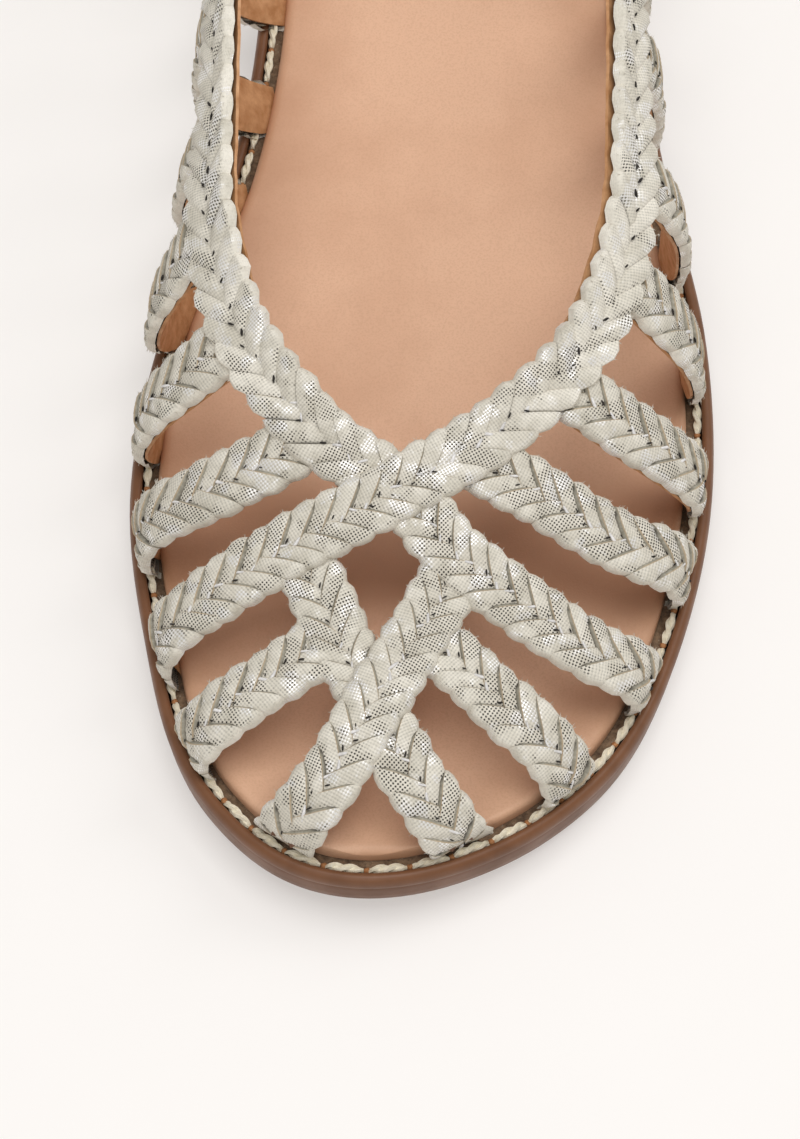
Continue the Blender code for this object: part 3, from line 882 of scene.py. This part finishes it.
def buildSewing():
    threads, slits, fibres = bmesh.new(), bmesh.new(), bmesh.new()
    for strip in allStrips:
        if not 0.0 < strip.begin < strip.strap.length - sewing["endClear"]:
            continue
        yaw = math.radians(sewing["slant"]) + dice.uniform(-sewing["slantJitter"], sewing["slantJitter"])
        if dice.random() < sewing["threadKeep"]:
            place, across, height = strip.spot(sewing["threadShare"], 2)[:3]
            size = Vector(sewing["threadSize"]) * dice.uniform(0.7, 1.3)
            placedBlob(threads, strip, place, across, height + sewing["threadRise"], size, yaw)
        if dice.random() < between(sewing["slitKeep"], strip.tilt):
            place, across, height = strip.spot(sewing["slitShare"], 0)[:3]
            size = Vector(sewing["slitSize"]) * (dice.uniform(0.6, 1.2) + sewing["plumpSize"] * strip.plump)
            height += sewing["slitRise"] + sewing["plumpRise"] * strip.plump
            placedBlob(slits, strip, place + sewing["slitSlide"], across, height, size, yaw)
        for k in range(sewing["fibres"]):
            addFibre(fibres, strip)
    finishPiece("braidThread", threads, [finishes["threadWhite"]], 60)
    finishPiece("frayedFibres", fibres, [finishes["fibreCream"]], 60)
    finishPiece("needleSlits", slits, [finishes["needleDark"]], 60)


buildSewing()
print("braids sewn")

# welt stitches of two-ply thread on the ledge round the straps' ends
welt = {
    "inset": 2.65,
    "rise": 0.62,
    "samples": 1440,
    "pitch": 6.5,
    "length": 5.8,
    "jitter": 0.15,
    "plyRadius": 0.48,
    "plyOffset": 0.32,
    "twists": 1.15,
    "endDip": 0.55,
    "endTaper": 0.3,
    "rings": 10,
    "sides": 5,
    "holeSize": (0.62, 0.62, 0.3),
    "holeAt": 0.96,  # in pitches from the start of a stitch
    "holeDrop": 0.45,
}


def ledgePath():  # the point at a distance along the ledge, and the length of the ledge
    edge = [soleEdge(fullTurn * i / welt["samples"], welt["inset"]) for i in range(welt["samples"] + 1)]
    points = [placed(x, station, ledgeHeight(station) + welt["rise"]) for x, station in edge]
    lengths = runLengths(points)

    def pointAt(place):
        place %= lengths[-1]
        i = min(len(points) - 2, bisect.bisect_right(lengths, place) - 1)
        share = (place - lengths[i]) / (lengths[i + 1] - lengths[i])
        return points[i].lerp(points[i + 1], share)

    return pointAt, lengths[-1]


def addPly(bm, pointAt, start, phase):
    for vert, share, aroundShare in gridShares(bm, welt["rings"], welt["sides"]):
        turn = fullTurn * aroundShare
        place = start + welt["length"] * share
        middle = pointAt(place)
        ahead = (pointAt(place + 0.2) - middle).normalized()
        beside = ahead.cross(Vector((0, 0, 1))).normalized()
        up = beside.cross(ahead)
        swell = math.sin(math.pi * min(max(share, 0.03), 0.97)) ** 0.4
        taper = between((welt["endTaper"], 1.0), swell)
        angle = phase + share * welt["twists"] * fullTurn
        offset = (beside * math.cos(angle) + up * math.sin(angle)) * welt["plyOffset"] * taper
        around = (beside * math.cos(turn) + up * math.sin(turn)) * welt["plyRadius"] * taper
        dip = up * -welt["endDip"] * (2 * abs(share - 0.5)) ** 6
        vert.co = (middle + offset + dip + around) * mm


def buildWelt():
    pointAt, length = ledgePath()
    count = round(length / welt["pitch"])
    pitch = length / count
    stitches, holes = bmesh.new(), bmesh.new()
    for i in range(count):
        phase = dice.uniform(0, 6.28)
        start = i * pitch + dice.uniform(-welt["jitter"], welt["jitter"])
        for ply in (0, math.pi):
            addPly(stitches, pointAt, start, phase + ply)
        hole = pointAt((i + welt["holeAt"]) * pitch) - Vector((0, 0, welt["holeDrop"]))
        addBlob(holes, Matrix.Translation(hole * mm), welt["holeSize"])
    bmesh.ops.remove_doubles(stitches, verts=stitches.verts, dist=0.000001)
    bmesh.ops.holes_fill(stitches, edges=[edge for edge in stitches.edges if edge.is_boundary])
    print("welt stitches:", count)
    finishPiece("weltHoles", holes, [finishes["rawHole"]], 60)
    finishPiece("weltStitches", stitches, [finishes["weltThread"]], 50)


buildWelt()


# outsole: a moulded tray with a bead round its rim
shell = {
    "rings": (  # inset, share of the height from bottom to rim, rise above that, band: 0 side, 1 rim
        (2.6, 0.0, 0.0, 0), (1.5, 0.0, 0.25, 0), (0.8, 0.0, 0.9, 0), (0.5, 0.25, 0.6, 0),
        (0.4, 0.45, 0.3, 0), (0.30, 1.0, -3.35, 0), (0.33, 1.0, -3.1, 0), (0.34, 1.0, -2.95, 0),
        (0.29, 1.0, -2.75, 1), (0.10, 1.0, -2.3, 1), (0.0, 1.0, -1.9, 1), (0.05, 1.0, -1.3, 1),
        (0.25, 1.0, -0.65, 1), (0.6, 1.0, -0.22, 1), (1.05, 1.0, -0.02, 1), (1.5, 1.0, -0.06, 1),
        (1.8, 1.0, -0.3, 1), (1.9, 1.0, -0.8, 1), (1.9, 1.0, -sole["trayDrop"], 1),
    ),
    "tones": {  # dark and light, by band; the side is a little darker, as painted shade
        "shellSideShaded": ((0.128, 0.052, 0.022), (0.188, 0.080, 0.037)),
        "shellRim": ((0.135, 0.055, 0.023), (0.200, 0.086, 0.039)),
    },
    "clouds": (130, 0.46),  # scale and roughness
    "grain": (1500, 0.16, 0.0002),
}


def shellMaterials():
    finish = (*shell["clouds"], *shell["grain"])
    sheets = [plainSheet(name, *tones, *finish) for name, tones in shell["tones"].items()]
    for sheet in sheets:
        sheet.surface("Specular IOR Level", 0.3)
        sheet.surface("Coat Weight", 0.05)
        sheet.surface("Coat Roughness", 0.35)
    return [sheet.material for sheet in sheets]


def buildShell():
    bm = bmesh.new()
    rings, half = shell["rings"], sole["steps"] // 2
    rowOf = {}
    tips = set()
    for vert, roundShare, upwards in gridShares(bm, sole["steps"], len(rings) - 1):
        rowOf[vert] = round(upwards * (len(rings) - 1))
        if round(roundShare * sole["steps"]) % half == 0:
            tips.add(vert)
        inset, upShare, rise = rings[rowOf[vert]][:3]
        x, station = soleEdge(fullTurn * roundShare, inset)
        height = between((bottomHeight(station), rimHeight(station)), upShare) + rise
        vert.co = placed(x, station, height) * mm
    for face in bm.faces:
        face.material_index = rings[max(rowOf[vert] for vert in face.verts)][3]
    bmesh.ops.remove_doubles(bm, verts=bm.verts, dist=0.00001)
    # the underside is bridged from one side to the other, and closed at toe and heel
    lowest = [edge for edge in bm.edges if all(rowOf[vert] == 0 for vert in edge.verts)]
    bmesh.ops.bridge_loops(bm, edges=[edge for edge in lowest if tips.isdisjoint(edge.verts)])
    bmesh.ops.holes_fill(bm, edges=[edge for edge in bm.edges if edge.is_boundary], sides=4)
    return finishPiece("outsoleShell", bm, shellMaterials(), 50)


outsoleShell = buildShell()
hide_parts("outsole")
print("outsole moulded")

# insole: smooth padded leather, slightly dished, with painted shade near its edges and painted shadow under
# the vamp
footbed = {
    "inset": 4.5,
    "rise": 1.5,
    "dish": 0.8,
    "dishWidth": 14.0,
    "round": 1.7,
    "roundDrop": 0.8,
    "skirtGap": 0.1,
    "columns": 56,
    "rows": 130,
    "dark": (0.53, 0.285, 0.165),
    "light": (0.775, 0.49, 0.325),
    # colour of the painted shadow under the vamp
    "paintedVampShadow": (0.36, 0.165, 0.08),
    "vampShade": 0.7,
    "vampStations": (42.0, 77.0),
    "vampFade": 12.0,
    "edgeWidth": 16.0,
    "edgeShade": (0.35, 1.0),  # at the toe and behind it
    "toeEnd": 12.0,
    "toeFade": 22.0,
    "curlShade": 0.8,
    "skirtShade": 1.6,
}


def insoleLeather():
    sheet = Shading("insoleLeather")
    cloud = sheet.span(sheet.noise(45, 4.0), 0.25, 0.75, 0.62, 1.0)
    # painted shade: darker near the edges, over the rounded edge and on the skirt
    shadeAndMottle = sheet.math("SUBTRACT", cloud, sheet.times(sheet.attribute("paintedEdgeShade"), 0.35))
    colour = sheet.ramp(shadeAndMottle, footbed["dark"], footbed["light"], 0.1)
    # painted shadow under the crossing vamp straps
    vamp = sheet.times(sheet.attribute("paintedVampShadow"), footbed["vampShade"])
    colour = sheet.mix(vamp, colour, footbed["paintedVampShadow"])
    fine = sheet.noise(2800, 4.0, 0.6)
    grain = sheet.span(fine, 0.36, 0.56, 0.24, 0.0)
    sheet.surface("Base Color", sheet.mix(grain, colour, footbed["dark"]))
    sheet.surface("Roughness", sheet.span(fine, 0.3, 0.7, 0.44, 0.56))
    sheet.surface("Specular IOR Level", 0.4)
    sheet.bump(fine, 0.22, 0.0002)
    return sheet.material


def vampShadowShare(station):  # painted shadow: 1 under the crossing straps
    first, final = footbed["vampStations"]
    return smooth((station - first) / footbed["vampFade"]) * smooth((final - station) / footbed["vampFade"])


def buildFootbed():
    bm = bmesh.new()
    edgeLayer = bm.verts.layers.float.new("paintedEdgeShade")
    vampLayer = bm.verts.layers.float.new("paintedVampShadow")
    for vert, acrossShare, lengthShare in gridShares(bm, footbed["columns"], footbed["rows"]):
        turn = lengthShare * math.pi
        share = 0.5 - 0.5 * math.cos(math.pi * acrossShare)
        medial, lateral = soleEdge(-turn, footbed["inset"]), soleEdge(turn, footbed["inset"])
        x, station = (between(ends, share) for ends in zip(medial, lateral))
        endward = min(station - footbed["inset"], sole["length"] - footbed["inset"] - station)
        reach = max(0.0, min(min(share, 1 - share) * (lateral[0] - medial[0]), endward))
        curl = 1 - min(1.0, reach / footbed["round"])
        height = rimHeight(station) + footbed["rise"]
        height -= footbed["round"] * footbed["roundDrop"] * (1 - math.sqrt(1 - curl * curl))
        height -= footbed["dish"] * smooth(reach / footbed["dishWidth"])
        behindToe = smooth((station - footbed["toeEnd"]) / footbed["toeFade"])
        # painted shade near the edges, lighter at the toe, and on the rounded edge
        edgeShade = (1 - smooth(reach / footbed["edgeWidth"])) * between(footbed["edgeShade"], behindToe)
        vert[edgeLayer] = edgeShade + footbed["curlShade"] * curl
        vert[vampLayer] = vampShadowShare(station)
        vert.co = placed(x, station, height) * mm
    bmesh.ops.remove_doubles(bm, verts=bm.verts, dist=0.00001)
    border = [edge for edge in bm.edges if edge.is_boundary]
    skirt = bmesh.ops.extrude_edge_only(bm, edges=border)["geom"]
    for vert in (item for item in skirt if isinstance(item, bmesh.types.BMVert)):
        vert.co.z = (ledgeHeight(vert.co.y / mm + sole["length"] / 2) + footbed["skirtGap"]) * mm
        vert[edgeLayer] = footbed["skirtShade"]
    return finishPiece("insolePad", bm, [insoleLeather()], 60)


insolePad = buildFootbed()
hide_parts("insole")
print("insole padded")

# felt board: the CAD node with a fibrous dark finish and small painted glints
felt = {
    "dark": (0.065, 0.038, 0.022),
    "light": (0.28, 0.185, 0.11),
    # colour of the painted glints
    "speck": (0.34, 0.28, 0.21),
    "speckScale": 1400,
}


def feltBoard():
    sheet = Shading("feltBoard")
    cloud = sheet.noise(900, 5.0, 0.7)
    colour = sheet.ramp(cloud, felt["dark"], felt["light"])
    # painted glints: small bright spots in the felt's base colour
    cells = sheet.add("TexVoronoi", {"Vector": sheet.where, "Scale": felt["speckScale"]})
    bright = sheet.span(cells.outputs["Distance"], 0.12, 0.22, 1.0, 0.0)
    paintedGlints = sheet.times(bright, sheet.span(cloud, 0.5, 0.6))
    sheet.surface("Base Color", sheet.mix(paintedGlints, colour, felt["speck"]))
    sheet.surface("Roughness", 0.92)
    sheet.bump(cloud, 0.8, 0.0005)
    return sheet.material


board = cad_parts["midsole"]
board.data.materials.clear()
board.data.materials.append(feltBoard())

# floor, light and camera, in metres
studio = {
    "floorSize": 3.0,
    "floorDrop": 0.0002,
    "floorColour": (0.935, 0.905, 0.877),
    "floorShare": 0.55,  # the rest glows, as a lit sweep does
    "floorMottle": 0.985,
    "worldColour": (1.0, 0.985, 0.965),
    "worldStrength": 0.42,
    "lamps": (  # name, place, size, power
        ("topLight", (0.05, -0.15, 1.5), 0.9, 10.5),
        ("sideLight", (0.8, 0.35, 1.1), 0.7, 4.0),
        ("frontLight", (-0.2, -1.1, 0.9), 0.8, 3.2),
    ),
    "target": Vector((-0.00365, -0.07226, 0.010)),
    "distance": 0.700,
    "elevation": 60.0,
    "focalPixels": 4500.0,
    "imageHeight": 1139.0,
    "sensor": 36.0,
}


def buildFloor():
    bm = bmesh.new()
    bmesh.ops.create_grid(bm, x_segments=1, y_segments=1, size=studio["floorSize"])
    mesh = bpy.data.meshes.new("floor")
    bm.to_mesh(mesh)
    bm.free()
    sheet = Shading("paleFloor")
    pale = [channel * studio["floorShare"] for channel in studio["floorColour"]]
    duller = [channel * studio["floorMottle"] for channel in pale]
    sheet.surface("Base Color", sheet.ramp(sheet.noise(30, 2.0), duller, pale))
    sheet.surface("Roughness", 0.8)
    sheet.surface("Emission Color", studio["floorColour"])
    sheet.surface("Emission Strength", 1.0 - studio["floorShare"])
    mesh.materials.append(sheet.material)
    floor = addObject("floor", mesh)
    floor.location.z = -studio["floorDrop"]


def buildLights():
    world = bpy.data.worlds.new("studio")
    world.use_nodes = True
    background = world.node_tree.nodes["Background"]
    background.inputs["Color"].default_value = (*studio["worldColour"], 1.0)
    background.inputs["Strength"].default_value = studio["worldStrength"]
    bpy.context.scene.world = world
    bpy.context.scene.view_settings.view_transform = "Standard"
    for name, place, size, power in studio["lamps"]:
        lamp = bpy.data.lights.new(name, "AREA")
        lamp.size = size
        lamp.energy = power
        light = addObject(name, lamp)
        light.location = place
        light.rotation_euler = (studio["target"] - Vector(place)).to_track_quat("-Z", "Y").to_euler()


def buildCamera():
    camera = bpy.data.cameras.new("camera")
    camera.sensor_width = studio["sensor"]
    camera.lens = studio["focalPixels"] * studio["sensor"] / studio["imageHeight"]
    camera.clip_start = 0.01
    eye = addObject("camera", camera)
    lean = math.radians(studio["elevation"])
    eye.location = studio["target"] + Vector((0, -math.cos(lean), math.sin(lean))) * studio["distance"]
    eye.rotation_euler = (math.pi / 2 - lean, 0, 0)
    bpy.context.scene.camera = eye


buildFloor()
buildLights()
buildCamera()
print("studio set")
